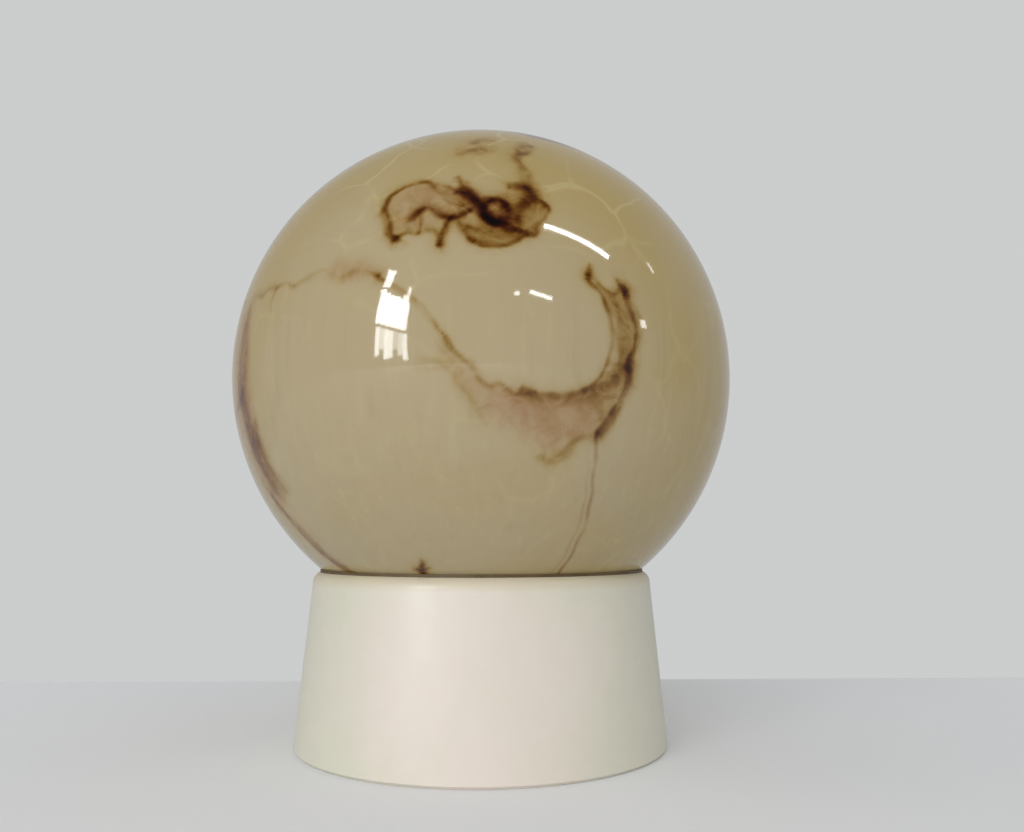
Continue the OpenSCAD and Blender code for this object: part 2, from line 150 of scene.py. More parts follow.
# Each strand: half width in mm, depth of its brown, depth of its black, lean (the side that its soft edge
# lies on, -1 to 1), fibres beside it, and points of (longitude, latitude, weight).
STRANDS = [
    # the cloud near the top: its left loop
    (0.62, 0.78, 0.06, 0.6, 1, [(-17, 18.5, 1.7), (-18.5, 19.5, 1), (-19.5, 22.5, 1.2), (-21, 25.5, 1.1),
                                (-21, 27.5, 1), (-20, 29.5, 0.9), (-17.5, 31.5, 0.6), (-13.5, 32.2, 0.7),
                                (-11.5, 30.8, 0.6), (-9.5, 28.4, 0.5), (-7.5, 26.6, 0.5), (-5, 25, 0.8)]),
    (0.55, 0.35, 0.02, 0.0, 1, [(-13, 32.3, 0.5), (-9, 31, 1), (-6, 29.6, 0.9), (-4, 28, 1)]),
    (0.75, 0.75, 0.26, 0.5, 1, [(-14.5, 22.6, 0.9), (-13, 24, 1.4), (-11.5, 25, 0.8), (-10, 23.6, 0.8),
                                (-8, 22.2, 1.1), (-5.5, 22.2, 1.1), (-3, 23.8, 1)]),
    (0.45, 0.60, 0.08, 0.0, 0, [(-13, 24, 1), (-12.4, 21.5, 0.9), (-12.6, 19, 0.6)]),
    (0.55, 0.50, 0.00, 0.3, 1, [(-18, 18.2, 1.2), (-15, 19.3, 0.8), (-13.3, 19, 0.9), (-11, 19.4, 0.7),
                                (-8.5, 18.2, 0.9)]),
    (0.65, 0.90, 0.12, 0.2, 1, [(-6.5, 22.2, 1.2), (-7.3, 20, 0.9), (-8, 18.2, 1), (-8.2, 16.4, 1.5)]),
    # its nearly black streak, with a ring round a pale eye
    (0.90, 0.75, 0.55, 0.3, 1, [(-5.5, 28.8, 1.1), (-3.4, 27.8, 1.3), (-1.5, 26.4, 1.1), (-0.4, 24.6, 1),
                                (0.2, 22.6, 1.3), (1.8, 21.2, 1.4), (3.8, 20.8, 1.1)]),
    (0.85, 0.45, 0.35, 0.0, 1, ellipse(2.6, 24.0, 2.5, 2.5, 1)),
    (1.00, 0.40, 0.32, 0.0, 1, [(0.6, 21.8, 1.1), (2.6, 21.2, 1.4), (4.8, 21.6, 1)]),
    (1.10, 0.40, 0.30, 0.0, 0, [(-3.5, 27.4, 1), (-1.5, 24.5, 1), (0.4, 22, 1)]),
    (0.80, 0.60, 0.14, -0.3, 1, [(0, 27, 0.8), (2, 26.8, 1), (4, 26.2, 1.1), (5.6, 24.5, 1.1),
                                 (5.6, 22.4, 0.8)]),
    # its right and lower lobes
    (0.80, 0.85, 0.08, 0.5, 2, [(6.0, 31, 0.6), (8.6, 30.4, 1.2), (9.3, 28.8, 1.5), (8.2, 26.4, 1.2),
                                (7.2, 24.5, 0.8), (6.6, 22, 0.7), (4.5, 19.8, 1)]),
    (0.55, 0.60, 0.10, -0.4, 1, [(9.6, 30.4, 1), (11.2, 28.4, 0.6), (13.2, 25.8, 1.6), (12.5, 23, 0.6),
                                 (11, 20.5, 0.8), (10.2, 18.5, 1.7), (8, 18.6, 1.5), (5.5, 19.6, 1.2)]),
    (0.52, 0.72, 0.06, 0.4, 1, [(-5.2, 20.8, 0.9), (-3.8, 18.8, 0.8), (-2.6, 17.2, 1.3), (-1, 16.2, 1.1),
                                (1.2, 15.8, 0.9), (3.6, 15.9, 0.8), (6, 17, 1), (8.4, 18.2, 1.4)]),
    (0.60, 0.50, 0.04, 0.0, 1, [(-3.5, 20, 1.2), (-1.5, 19.4, 0.9), (1, 19, 0.7), (4, 19.2, 1)]),
    # the wisps that climb from it over the top
    (0.85, 0.42, 0.02, 0.5, 2, [(9.5, 30.6, 1.4), (10.6, 33, 1.2), (11.2, 35.5, 0.8), (9.6, 38, 1),
                                (8.2, 40.4, 1.1), (9.4, 42.6, 1), (12.4, 43.6, 0.9), (14, 46, 0.8),
                                (13.6, 50, 0.5)]),
    (0.80, 0.34, 0.00, 0.4, 1, [(9.4, 42.6, 0.9), (10.6, 46, 1), (14.5, 47.6, 0.7)]),
    (1.30, 0.32, 0.02, 0.0, 2, [(-7, 42, 0.5), (-4.5, 43.4, 1), (-1.5, 44.6, 1.1), (1.4, 43.2, 0.5)]),
    (1.50, 0.34, 0.03, 0.0, 1, [(-3.5, 48, 0.8), (-0.6, 50, 1), (2.4, 49, 0.6)]),
    (1.80, 0.55, 0.22, 0.0, 2, [(14, 60, 0.5), (22, 58.5, 1.1), (30, 56, 1.2), (38, 54, 0.7)]),
    (0.70, 0.55, 0.06, 0.0, 1, [(-6, 33.4, 0.6), (-5, 30.8, 1), (-3.8, 29, 0.9)]),
    # the curved band on the right
    (0.52, 0.66, 0.10, 0.7, 2, [(26.5, 10.5, 0.7), (27.9, 8.8, 2.2), (28.2, 7, 1), (29.2, 4.5, 1),
                                (29.8, 2.2, 0.9), (29.4, -0.5, 0.9), (28.4, -3, 0.9), (27.7, -5.2, 1.5),
                                (27.8, -7.6, 2.1), (27.6, -9.2, 1.5), (26.8, -11.6, 0.6),
                                (25.6, -13.4, 1.4), (24, -16, 1.5), (22.6, -18, 1.6)]),
    (0.52, 0.60, 0.05, 0.3, 2, [(20.6, 13.4, 0.6), (19.6, 10.6, 1.9), (20, 9.2, 1.3), (21.8, 8, 0.9),
                                (22.8, 6.3, 1.2), (23.7, 4, 0.7), (24.1, 1, 0.6), (24.1, -2, 0.6),
                                (23.4, -5, 0.6), (22.2, -7.8, 0.8), (20.4, -9.6, 1), (18.8, -10.6, 1.3)]),
    (0.50, 0.42, 0.02, 0.3, 2, [(19.6, 10.6, 1), (22.5, 9, 0.9), (25, 8.2, 1.1), (27, 9, 1.2)]),
    (0.75, 0.46, 0.02, 0.6, 3, [(28, -4.4, 1), (26.6, -6.2, 1), (25, -7.8, 1.1), (23, -9.4, 1),
                                (20.6, -10.4, 1.2), (18, -11.2, 1), (15, -11.7, 0.9), (12, -11.6, 0.9),
                                (9.4, -11.2, 1), (7, -10.8, 1)]),
    (0.55, 0.22, 0.00, 0.3, 3, [(24.6, 7.4, 1), (26, 4.5, 0.9), (26.6, 1, 0.8), (26.4, -3, 0.9),
                                (25, -6.4, 1), (23, -9, 1)]),
    # the vein that runs on from it to the left
    (0.48, 0.38, 0.02, 0.5, 1, [(9.4, -11.2, 1), (6.4, -11.6, 0.9), (4.6, -11.2, 0.8), (3.2, -10, 0.7),
                                (1.6, -10.4, 0.7), (0.2, -9.8, 0.7), (-1.2, -8, 0.7), (-2.4, -6.2, 0.9),
                                (-4, -5, 1), (-5.4, -3.8, 1.1), (-6.4, -2.4, 1.4), (-7.2, -0.8, 1.1),
                                (-8.6, 1, 0.5), (-10, 3, 0.45), (-11.6, 4.6, 0.55), (-13.4, 6, 0.7),
                                (-16, 8, 0.6), (-20, 10.5, 1.2)]),
    (0.55, 0.17, 0.01, 0.2, 2, [(-20, 10.5, 2.0), (-22.5, 11.4, 0.6), (-25.5, 12, 0.9),
                                (-27.6, 11.2, 1.3), (-30, 11.6, 0.3), (-33, 13.2, 0.7),
                                (-35.5, 12.8, 1.4), (-38, 12.2, 0.9), (-41, 11.8, 1.2),
                                (-43.5, 12.4, 0.5), (-46.5, 12, 1.6), (-50, 12.4, 0.8), (-53, 11.8, 1.4),
                                (-58, 12.4, 0.6), (-66, 13, 1.2), (-76, 15, 1.3), (-84, 17, 1.4),
                                (-92, 20, 1.3)]),
    (0.50, 0.16, 0.00, 0.0, 1, [(-46.5, 12, 1.4), (-47.5, 9.4, 1.2), (-47, 7, 0.5)]),
    (0.90, 0.16, 0.00, 0.0, 2, [(-11.5, -5.6, 0.5), (-8, -6, 1.1), (-5.6, -7.8, 1), (-4.2, -10.4, 1),
                                (-2.4, -12.6, 0.9), (-1, -15, 0.8), (0.4, -17, 0.5)]),
    # the hook and the long thin lines under the pink cloud
    (0.80, 0.32, 0.00, 0.3, 1, [(22.5, -18.2, 1), (19.5, -19, 0.8), (17, -20.6, 1), (15.8, -22.4, 1.1),
                                (13.6, -23.6, 1), (11.6, -23, 0.7)]),
    (0.50, 0.10, 0.13, 0.0, 0, [(22.5, -18, 1.4), (22.7, -21, 0.9), (23.4, -25, 1), (24.2, -29, 1),
                                (24.9, -33.5, 1), (25.2, -38, 0.9), (25, -43, 1), (24.6, -47.5, 1.2),
                                (24.6, -51, 1.5), (24.8, -55, 1.5)]),
    (0.45, 0.04, 0.05, 0.0, 0, [(22, -24, 0.8), (23, -31, 1), (23.4, -38, 1), (22.6, -45, 1),
                                (22, -52, 0.8)]),
    # down the left side
    (1.90, 0.20, 0.10, 0.4, 2, [(-59, 10, 0.5), (-60.5, 3, 0.8), (-61.5, -3, 1.1), (-62, -8, 2.0),
                                (-60.5, -13, 1.3), (-59.5, -18, 1.9), (-59, -23, 1.1), (-57, -28, 0.8)]),
    (1.00, 0.28, 0.03, 0.4, 1, [(-55.5, -14, 0.9), (-56.5, -19, 1.3), (-55, -24, 1), (-51.5, -29, 0.7)]),
    (1.00, 0.50, 0.06, 0.3, 2, [(-61, -30, 0.8), (-58.5, -36, 1), (-55.5, -42, 1.1), (-51.5, -47, 1.2),
                                (-46, -50.5, 1.2), (-40, -53, 1), (-34, -55, 0.9)]),
    # dark flecks low on the front
    (0.75, 0.95, 0.20, 0.0, 1, [(-17.2, -46.2, 0.5), (-17.8, -48, 1.4), (-17.8, -49.6, 1.6),
                                (-18.4, -51.4, 0.6)]),
    (0.55, 0.70, 0.08, 0.0, 0, [(-20.6, -48.8, 0.7), (-18, -48.8, 1.3), (-15.4, -48.2, 0.7)]),
    (0.60, 0.45, 0.08, 0.0, 1, [(-30, -54.2, 0.8), (-22, -54.6, 1.2), (-14, -54.8, 1), (-5, -55, 0.4)]),
    (0.55, 0.40, 0.05, 0.0, 1, [(18, -55, 0.6), (24, -54.8, 1.2), (30, -55, 0.6)]),
    # round the right and the back
    (0.75, 0.50, 0.06, 0.5, 3, [(66, 30, 0.4), (70, 33.5, 1.2), (77, 37, 0.8), (84, 40.5, 1.4),
                                (91, 41, 0.8), (98, 40, 1.5), (104, 36.5, 1), (108, 33, 1.3)]),
    (0.60, 0.45, 0.04, 0.4, 2, [(108, 33, 1.2), (113, 27.5, 1), (112.5, 22, 1.4), (107, 18.6, 0.7),
                                (101, 20.5, 0.8), (98.6, 25.5, 1), (101, 30, 0.5)]),
    (0.65, 0.48, 0.06, 0.4, 3, [(112, 27, 1), (118, 24.5, 1.5), (123.5, 23, 0.8), (129, 16, 1.2),
                                (134, 14.6, 0.7), (139, 11.6, 1.3), (145, 5, 0.8), (146.5, -0.5, 1.3),
                                (150, -7, 0.7), (156, -11, 1.1), (160, -20, 0.7), (171, -27, 0.4)]),
    (0.95, 0.42, 0.26, 0.2, 2, [(103, 37.5, 0.6), (107, 34, 1.3), (110, 32.6, 0.8), (113, 31, 1.2),
                                (117, 27, 0.5)]),
    (0.60, 0.30, 0.03, 0.3, 2, [(146, 3, 1), (138, -3, 0.8), (128, -6, 1.2), (119, -14, 0.7),
                                (112, -16, 1.1), (106, -25, 0.6), (104, -36, 0.4)]),
    (0.75, 0.52, 0.08, 0.5, 3, [(-92, 20, 0.8), (-98, 25, 1.2), (-105, 26, 0.7), (-110, 30, 1.4),
                                (-118, 35, 0.8), (-128, 36, 1.2), (-136, 32, 1.5)]),
    (0.65, 0.46, 0.06, 0.4, 2, [(-136, 32, 1.4), (-141, 27.5, 0.8), (-142, 22.4, 1.3), (-137, 17.4, 0.7),
                                (-129, 17, 1.1), (-124, 20.6, 0.6)]),
    (0.60, 0.38, 0.04, 0.4, 2, [(-138, 31, 1), (-145, 33.6, 0.7), (-152, 35, 1.3), (-159, 41, 0.8),
                                (-168, 43, 1.1), (-178, 51, 0.6), (-190, 54, 0.4)]),
    (0.55, 0.32, 0.02, 0.3, 2, [(-141, 22, 1.2), (-149, 15, 0.8), (-154, 5, 1.3), (-164, 0, 0.7),
                                (-170, -9, 1), (-168, -19, 0.5)]),
    (0.60, 0.28, 0.02, 0.4, 2, [(-60, -7.5, 1), (-70, -11, 0.7), (-79, -9, 1.2), (-89, -15, 0.8),
                                (-96, -13, 1.1), (-104, -20, 1), (-107, -31, 0.7), (-101, -41, 0.4)]),
    (0.50, 0.10, 0.08, 0.0, 0, [(-154, 5, 0.9), (-146, -4, 0.8), (-141, -16, 1), (-139, -30, 0.9),
                                (-141, -46, 0.7)]),
]

# Tints between strands: pink, brown, wisps (fine fibres drawn by the glass material), and an outline.
CLOUDS = [
    (0.34, 0.10, 0.10, [(-19, 20), (-20.5, 27), (-17, 31), (-12.5, 31.5), (-8, 26), (-4, 25), (-4, 22),
                        (-9, 22), (-10, 19.5)]),
    (0.45, 0.04, 0.05, [(-12.5, 32), (-8, 31), (-4, 28.5), (-5, 26), (-9, 27.5), (-12, 30)]),
    (0.15, 0.30, 0.15, [(3, 28), (8.5, 29.5), (12.5, 26), (11, 21), (8.5, 19), (4, 19.5), (5.5, 24)]),
    (0.10, 0.30, 0.15, [(-5, 20.5), (-2.5, 17), (1.5, 16), (7.5, 18), (4, 20.5), (0, 21)]),
    (0.50, 0.35, 0.05, [(-5, 27.5), (-1, 26.5), (5, 26), (6, 22), (3, 20.5), (-1, 22), (-2, 25)]),
    (0.15, 0.18, 0.28, [(24, 7), (28, 8), (29.5, 3), (28.5, -5), (26.5, -12), (23, -16.5), (19, -12.5),
                        (22.5, -9), (25, -4), (25, 2)]),
    (0.60, 0.08, 0.09, [(4.5, -11.5), (12, -12), (19.5, -12), (23, -15.5), (21, -18), (16, -20),
                        (14, -22.5), (12, -20.5), (9.5, -17.5), (6.5, -16), (5, -13.5)]),
    (0.35, 0.02, 0.10, [(1.5, -11), (6, -12), (9, -16), (12.5, -21.5), (8, -20), (3, -17.5), (0, -14)]),
    (0.22, 0.03, 0.12, [(-8, -3), (-4, -5.5), (2, -10.5), (5, -13), (0, -15.5), (-4, -11)]),
    (0.40, 0.03, 0.20, [(-66, 12), (-57, 8), (-56, -5), (-54.5, -18), (-53, -30), (-62, -34),
                        (-68, -15)]),
    (0.28, 0.04, 0.12, [(-19, 11), (-24, 14), (-30, 14.5), (-31, 11.5), (-24, 10)]),
    # round the right and the back
    (0.40, 0.10, 0.14, [(76, 36), (97, 40), (113, 30), (109, 20), (98, 24), (88, 34)]),
    (0.45, 0.06, 0.14, [(114, 25), (130, 15), (145, 4), (138, -2), (124, 6), (113, 17)]),
    (0.45, 0.08, 0.14, [(-98, 25), (-116, 33), (-138, 31), (-141, 21), (-127, 18), (-112, 22)]),
    (0.30, 0.04, 0.12, [(-60, -7), (-89, -14), (-103, -20), (-106, -32), (-92, -27), (-74, -16)]),
]


def warped(points):
    """Points in mm, pushed about by two sizes of noise, so that strands waver as ink in hot glass does."""
    out = np.empty_like(points)
    for k, p in enumerate(points):
        v = Vector(p)
        fine = noise.noise_vector(v / 3.1 + Vector((9, 4, 1)))
        out[k] = v + 0.8 * noise.noise_vector(v / 8) + 0.28 * fine
    return out


def near_path(points, path, reach):
    """Which points are within reach of a path, and for each its nearest path point, distance and side."""
    middle = (path.min(0) + path.max(0)) / 2
    span = np.linalg.norm(path - middle, axis=1).max() + reach
    near = np.nonzero(np.linalg.norm(points - middle, axis=1) < span)[0]
    if not len(near):
        return near, near, np.zeros(0), np.zeros(0)
    q = points[near]
    d2 = (q ** 2).sum(1)[:, None] + (path ** 2).sum(1)[None] - 2 * q @ path.T
    hit = d2.argmin(1)
    d = np.sqrt(np.maximum(d2[np.arange(len(q)), hit], 0))
    along = np.gradient(path, axis=0)
    across = np.cross(path / np.linalg.norm(path, axis=1, keepdims=True), along)
    side = np.sign(((q - path[hit]) * across[hit]).sum(1))
    keep = d < reach
    return near[keep], hit[keep], d[keep], side[keep]


LINE_STEP = 0.6         # mm between the points of a line


def strand_lines(strand, radius, rng):
    """A strand's own line and the fibres that sway beside it, each with its weights."""
    half, wash, ink, lean, fibres, route = strand
    route = np.array(route)
    path = smooth_path(np.hstack([on_globe(route[:, 0], route[:, 1]) * radius, route[:, 2:]]), LINE_STEP)
    for fibre in range(fibres + 1):
        line = path[:, :3].copy()
        share = 1.0
        if fibre:
            share = rng.uniform(0.25, 0.5)
            s = np.linspace(0, 1, len(line))
            sway = rng.uniform(1.2, 2.6) * half * np.sin(s * rng.uniform(4, 11) + rng.uniform(0, TAU))
            sway += lean * half * rng.uniform(0.5, 2)
            across = np.cross(line / radius, np.gradient(line, axis=0))
            across /= np.linalg.norm(across, axis=1, keepdims=True)
            line += across * sway[:, None]
            line *= radius / np.linalg.norm(line, axis=1, keepdims=True)
        yield line, np.maximum(path[:, 3], 0) * share


def draw_line(fields, points, strand, line, weights):
    """Adds a line to the wash and ink of the points: a dark core, with a soft edge wider on one side."""
    half, wash, ink, lean = strand[:4]
    which, hit, d, side = near_path(points, line, 6 * half)
    weight = weights[hit]
    width = half * (0.75 + 0.25 * weight) * np.where(side * lean > 0, 1 + 1.3 * abs(lean), 1)
    core = np.exp(-(d / width) ** 2)
    halo = np.exp(-d / (1.5 * width))
    fields["ink"][which] += ink * weight * core
    fields["wash"][which] += wash * weight * (0.72 * core + 0.28 * halo)


def inside_outline(points, outline, radius):
    """1 well inside a given outline, falling smoothly to 0 outside it."""
    ring = on_globe(*np.array(outline, float).T)
    centre = ring.mean(0)
    centre /= np.linalg.norm(centre)
    east = np.cross([0, 0, 1.0], centre)
    east /= np.linalg.norm(east)
    north = np.cross(centre, east)
    front = points @ centre > 0.35 * radius
    q = points[front] / radius
    flat = np.stack([q @ east, q @ north], 1) / (q @ centre)[:, None]
    corners = np.stack([ring @ east, ring @ north], 1) / (ring @ centre)[:, None]
    odd = np.zeros(len(flat), bool)
    dist = np.full(len(flat), 9.0)
    for a, b in zip(corners, np.roll(corners, -1, 0)):
        crosses = (a[1] > flat[:, 1]) != (b[1] > flat[:, 1])
        rise = b[1] - a[1] if abs(b[1] - a[1]) > 1e-12 else 1e-12
        odd ^= crosses & (flat[:, 0] < a[0] + (flat[:, 1] - a[1]) * (b[0] - a[0]) / rise)
        t = np.clip(((flat - a) @ (b - a)) / ((b - a) @ (b - a)), 0, 1)
        dist = np.minimum(dist, np.linalg.norm(flat - a - t[:, None] * (b - a), axis=1))
    signed = np.where(odd, dist, -dist) * radius
    out = np.zeros(len(points))
    out[front] = 1 / (1 + np.exp(-signed / 0.75))
    return out


def marbling_lines(radius):
    """Every line of the marbling as (strand, path in mm, weights). The same lines each run."""
    rng = random.Random(7)
    return [(strand, line, weights)
            for strand in STRANDS for line, weights in strand_lines(strand, radius, rng)]


def draw_marbling(mesh, skin, lines):
    """Writes the wash, ink, mauve and wisp of the mesh's first points, which skin holds in mm from the
    globe's centre. The inside and the neck have none."""
    radius = GLOBE_R / MM
    points = warped(skin)
    fields = {name: np.zeros(len(skin)) for name in ("ink", "wash", "mauve", "wisp")}
    for strand, line, weights in lines:
        draw_line(fields, points, strand, line, weights)
    for mauve, wash, wisp, outline in CLOUDS:
        inside = inside_outline(points, outline, radius)
        fields["mauve"] += mauve * inside
        fields["wash"] += wash * inside
        fields["wisp"] = np.maximum(fields["wisp"], wisp * inside)
    for name, values in fields.items():
        full = np.zeros(len(mesh.vertices), np.float32)
        full[:len(skin)] = values
        mesh.attributes.new(name, "FLOAT", "POINT").data.foreach_set("value", full)


CELLS_ROUND = 240       # plain cells round the globe, and up it
CELLS_UP = 98
SPLIT = 6               # finer cells along a plain cell's side where there is marbling


def cell_points(rows, columns, seam):
    """Points in mm of the globe's outside at a row and column of its cells, from its seam to its top."""
    lat = seam + (90 - seam) * np.asarray(rows, float) / CELLS_UP
    lon = np.asarray(columns, float) * 360 / CELLS_ROUND
    return on_globe(lon, lat) * GLOBE_R / MM


def marked_cells(seam, lines):
    """True for each cell of the globe's outside that a line of the marbling comes near."""
    rows, columns = np.meshgrid(np.arange(CELLS_UP) + 0.5, np.arange(CELLS_ROUND) + 0.5, indexing="ij")
    centres = warped(cell_points(rows, columns, seam).reshape(-1, 3))
    marks = np.zeros(len(centres), bool)
    for strand, line, weights in lines:
        which, _, d, _ = near_path(centres, line, 1.0 + 2.0 * strand[0])
        marks[which] = True
    marks = marks.reshape(CELLS_UP, CELLS_ROUND)
    marks[0] = marks[-3:] = False
    return marks


def skin_cells(marks):
    """The globe's outside as (rows and columns of its points, faces). Marked cells are split, and a plain
    cell beside one takes the extra points of the shared side, so that the skin has no gaps."""
    up, round_ = CELLS_UP * SPLIT, CELLS_ROUND * SPLIT
    used = np.zeros((up, round_), bool)
    used[::SPLIT, ::SPLIT] = True
    for i, j in zip(*np.nonzero(marks)):
        columns = (j * SPLIT + np.arange(SPLIT + 1)) % round_
        used[i * SPLIT:(i + 1) * SPLIT + 1, columns] = True
    ids = np.cumsum(used.ravel()).reshape(used.shape) - 1
    faces = []
    for i in range(CELLS_UP - 1):
        for j in range(CELLS_ROUND):
            if marks[i, j]:
                for a in range(i * SPLIT, (i + 1) * SPLIT):
                    for b in range(j * SPLIT, (j + 1) * SPLIT):
                        c = (b + 1) % round_
                        faces.append([ids[a, b], ids[a, c], ids[a + 1, c], ids[a + 1, b]])
                continue
            left, right = marks[i, j - 1], marks[i, (j + 1) % CELLS_ROUND]
            below, above = i > 0 and marks[i - 1, j], marks[i + 1, j]
            a, b = i * SPLIT, j * SPLIT
            side = range(SPLIT)
            walk = [(a, b + k) for k in (side if below else [0])]
            walk += [(a + k, b + SPLIT) for k in (side if right else [0])]
            walk += [(a + SPLIT, b + SPLIT - k) for k in (side if above else [0])]
            walk += [(a + SPLIT - k, b) for k in (side if left else [0])]
            faces.append([ids[y, x % round_] for y, x in walk])
    return np.argwhere(used) / SPLIT, ids, faces


def make_globe():
    """The glass, its outside split finely where the marbling is, with a moulded thread on its neck."""
    lines = marbling_lines(GLOBE_R / MM)
    inner_r = GLOBE_R - GLASS_T
    bore_r = NECK_R - GLASS_T
    seam = -math.degrees(math.acos(NECK_R / GLOBE_R))
    inner_seam = -math.degrees(math.acos(bore_r / inner_r))
    neck_top = GLOBE_Z + GLOBE_R * math.sin(math.radians(seam))
    inside = [(0, GLOBE_Z + inner_r)] + arc(0, GLOBE_Z, inner_r, 86, inner_seam, 30)
    inside += [(bore_r, z) for z in np.linspace(neck_top, NECK_Z + LIP_ROUND, 5)[1:]]
    inside += arc(bore_r + LIP_ROUND, NECK_Z + LIP_ROUND, LIP_ROUND, 180, 270, 4)[1:]
    inside += arc(NECK_R - LIP_ROUND, NECK_Z + LIP_ROUND, LIP_ROUND, 270, 360, 4)
    wall_from, wall_to = NECK_Z + LIP_ROUND + NECK_RING_STEP, neck_top - NECK_RING_STEP
    wall = [(NECK_R, z) for z in np.arange(wall_from, wall_to, NECK_RING_STEP)]
    rings = np.array(inside[1:] + wall)
    lifted = np.array([0.0] * (len(inside) - 1) + [1.0] * len(wall))[:, None]
    angles = np.arange(CELLS_ROUND) * TAU / CELLS_ROUND - TAU / 4
    z = np.repeat(rings[:, 1:], CELLS_ROUND, 1)
    r = rings[:, :1] + THREAD_HEIGHT * lifted * thread_rise(np.mod(angles, TAU)[None, :], z, **NECK_THREAD)
    lathe = np.stack([r * np.cos(angles), r * np.sin(angles), z], -1).reshape(-1, 3)
    places, ids, faces = skin_cells(marked_cells(seam, lines))
    skin = cell_points(places[:, 0], places[:, 1], seam)
    verts = np.vstack([skin * MM + [0, 0, GLOBE_Z], lathe,
                       [[0, 0, GLOBE_Z + GLOBE_R], [0, 0, GLOBE_Z + inner_r]]])
    first = len(skin)
    crown, dome = len(verts) - 2, len(verts) - 1
    foot = ids[0, ::SPLIT]
    top = ids[-SPLIT, ::SPLIT]
    last = first + (len(rings) - 1) * CELLS_ROUND
    for j in range(CELLS_ROUND):
        k = (j + 1) % CELLS_ROUND
        faces.append([top[j], top[k], crown])
        faces.append([first + k, first + j, dome])
        faces.append([last + j, last + k, foot[k], foot[j]])
        for i in range(len(rings) - 1):
            a = first + i * CELLS_ROUND
            b = a + CELLS_ROUND
            faces.append([a + j, a + k, b + k, b + j])
    globe = new_object("marbled_globe", verts, [[int(v) for v in f] for f in faces])
    draw_marbling(globe.data, skin, lines)
    return globe


# ---- Materials ----

class Glaze:
    """Builds one material's nodes. Each call returns an output that others can take as an input."""

    def __init__(self, name):
        self.material = bpy.data.materials.new(name)
        self.material.use_nodes = True
        self.tree = self.material.node_tree
        self.shader = self.tree.nodes["Principled BSDF"]
        self.place = self.add("ShaderNodeTexCoord").outputs["Object"]

    def add(self, kind, **settings):
        made = self.tree.nodes.new(kind)
        for key, value in settings.items():
            setattr(made, key, value)
        return made

    def put(self, socket, value):
        if isinstance(value, bpy.types.NodeSocket):
            self.tree.links.new(value, socket)
        elif isinstance(value, tuple):
            socket.default_value = (*value, 1)
        else:
            socket.default_value = value

    def math(self, operation, *values, clamp=False):
        made = self.add("ShaderNodeMath", operation=operation, use_clamp=clamp)
        for socket, value in zip(made.inputs, values):
            self.put(socket, value)
        return made.outputs[0]

    def mix(self, share, a, b):
        made = self.add("ShaderNodeMix", data_type="RGBA")
        for socket, value in zip((made.inputs[0], made.inputs[6], made.inputs[7]), (share, a, b)):
            self.put(socket, value)
        return made.outputs[2]

    def span(self, value, low, high, to_low=0.0, to_high=1.0):
        made = self.add("ShaderNodeMapRange", interpolation_type="SMOOTHSTEP")
        for socket, v in zip(made.inputs, (value, low, high, to_low, to_high)):
            self.put(socket, v)
        return made.outputs[0]

    def stretch(self, scale):
        made = self.add("ShaderNodeMapping")
        self.put(made.inputs["Vector"], self.place)
        made.inputs["Scale"].default_value = scale
        return made.outputs[0]

    def noise(self, scale, detail=3, roughness=0.5, distortion=0.0, vector=None):
        made = self.add("ShaderNodeTexNoise")
        self.put(made.inputs["Vector"], vector or self.place)
        made.inputs["Scale"].default_value = scale
        made.inputs["Detail"].default_value = detail
        made.inputs["Roughness"].default_value = roughness
        made.inputs["Distortion"].default_value = distortion
        return made.outputs[0]

    def cell_edges(self, scale, vector):
        made = self.add("ShaderNodeTexVoronoi", feature="DISTANCE_TO_EDGE")
        self.put(made.inputs["Vector"], vector)
        made.inputs["Scale"].default_value = scale
        return made.outputs["Distance"]

    def drifted(self, scale, reach):
        """The place, pushed about by coloured noise, up to reach along each axis."""
        drift = self.add("ShaderNodeTexNoise")
        self.put(drift.inputs["Vector"], self.place)
        drift.inputs["Scale"].default_value = scale
        made = self.add("ShaderNodeVectorMath", operation="MULTIPLY_ADD")
        self.put(made.inputs[0], drift.outputs["Color"])
        made.inputs[1].default_value = (reach, reach, reach)
        self.put(made.inputs[2], self.place)
        return made.outputs[0]

    def height(self):
        made = self.add("ShaderNodeSeparateXYZ")
        self.put(made.inputs[0], self.place)
        return made.outputs["Z"]

    def distance(self, point):
        made = self.add("ShaderNodeVectorMath", operation="DISTANCE")
        self.put(made.inputs[0], self.place)
        made.inputs[1].default_value = point
        return made.outputs["Value"]

    def field(self, name):
        return self.add("ShaderNodeAttribute", attribute_name=name).outputs["Fac"]

    def bump(self, height, strength, distance):
        made = self.add("ShaderNodeBump")
        made.inputs["Strength"].default_value = strength
        made.inputs["Distance"].default_value = distance
        self.put(made.inputs["Height"], height)
        self.put(self.shader.inputs["Normal"], made.outputs[0])

    def set(self, **values):
        for name, value in values.items():
            self.put(self.shader.inputs[name.replace("_", " ")], value)
        return self.material


# Light taken away by a full depth of each stain, as red, green and blue
STAIN = {"ink": (2.2, 3.6, 4.0), "wash": (0.95, 1.50, 3.0), "mauve": (0.16, 0.45, 0.46)}
GREY_VEIL_MIDDLE = (-12, -14)        # where on the globe the ground is greyest and palest: partly the glass's own tone, partly a painted reflection veil; it yellows away from there
# the grey below is partly a painted reflection veil, partly the glass's own tone
GLASS_GREY_VEIL = (0.405, 0.330, 0.194)
GLASS_YELLOW = (0.390, 0.292, 0.112)
GLASS_PALE = (0.52, 0.44, 0.22)
GLASS_DULL = (0.30, 0.240, 0.125)


